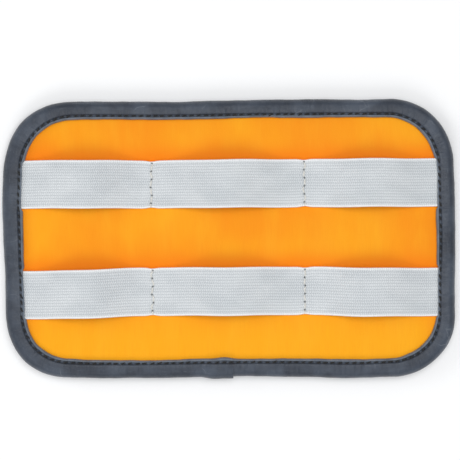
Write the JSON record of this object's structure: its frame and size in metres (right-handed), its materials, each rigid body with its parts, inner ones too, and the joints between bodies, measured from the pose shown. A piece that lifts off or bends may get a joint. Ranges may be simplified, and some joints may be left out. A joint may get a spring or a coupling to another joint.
{
  "type": "cable organizer panel",
  "caption": "Flat padded cable organizer with rounded corners, a dark bound edge, an orange lining and grey elastic bands sewn into loops.",
  "frame": {"origin": "on the surface that the panel lies on, under the centre of its outline", "axes": "+X along the length, parallel to the elastic bands; +Y across the bands, from the lower band to the upper one; +Z out of the orange lining"},
  "size_m": [0.188, 0.1158, 0.0135],
  "materials": {
    "binding_leather": "satin",
    "cover_leather": "satin",
    "lining_nylon": "satin",
    "elastic": "matte",
    "foam": "matte",
    "board": "matte",
    "dark_thread": "satin",
    "cream_thread": "matte"
  },
  "bodies": {
    "panel": {"back_cover": "cover_leather", "stiffener_board": "board", "foam_padding": "foam", "lining": "lining_nylon", "edge_binding": "binding_leather", "binding_needle_thread": "dark_thread", "binding_bobbin_thread": "dark_thread", "upper_band_left_tab": "elastic", "upper_band_left_sewn_strip": "elastic", "upper_band_left_row_thread": "cream_thread", "upper_band_right_tab": "elastic", "upper_band_right_sewn_strip": "elastic", "upper_band_right_row_thread": "cream_thread", "lower_band_left_tab": "elastic", "lower_band_left_sewn_strip": "elastic", "lower_band_left_row_thread": "cream_thread", "lower_band_right_tab": "elastic", "lower_band_right_sewn_strip": "elastic", "lower_band_right_row_thread": "cream_thread"},
    "upper_left_loop": {"upper_left_loop": "elastic"},
    "upper_middle_loop": {"upper_middle_loop": "elastic"},
    "upper_right_loop": {"upper_right_loop": "elastic"},
    "lower_left_loop": {"lower_left_loop": "elastic"},
    "lower_middle_loop": {"lower_middle_loop": "elastic"},
    "lower_right_loop": {"lower_right_loop": "elastic"}
  },
  "joints": [
    {"name": "upper_left_loop_stretch", "type": "slide", "parent": "panel", "child": "upper_left_loop", "axis": [0, 0, 1], "range_m": [0, 0.012], "stiffness_N_per_m": 200},
    {"name": "upper_middle_loop_stretch", "type": "slide", "parent": "panel", "child": "upper_middle_loop", "axis": [0, 0, 1], "range_m": [0, 0.012], "stiffness_N_per_m": 200},
    {"name": "upper_right_loop_stretch", "type": "slide", "parent": "panel", "child": "upper_right_loop", "axis": [0, 0, 1], "range_m": [0, 0.012], "stiffness_N_per_m": 200},
    {"name": "lower_left_loop_stretch", "type": "slide", "parent": "panel", "child": "lower_left_loop", "axis": [0, 0, 1], "range_m": [0, 0.012], "stiffness_N_per_m": 200},
    {"name": "lower_middle_loop_stretch", "type": "slide", "parent": "panel", "child": "lower_middle_loop", "axis": [0, 0, 1], "range_m": [0, 0.012], "stiffness_N_per_m": 200},
    {"name": "lower_right_loop_stretch", "type": "slide", "parent": "panel", "child": "lower_right_loop", "axis": [0, 0, 1], "range_m": [0, 0.012], "stiffness_N_per_m": 200}
  ]
}
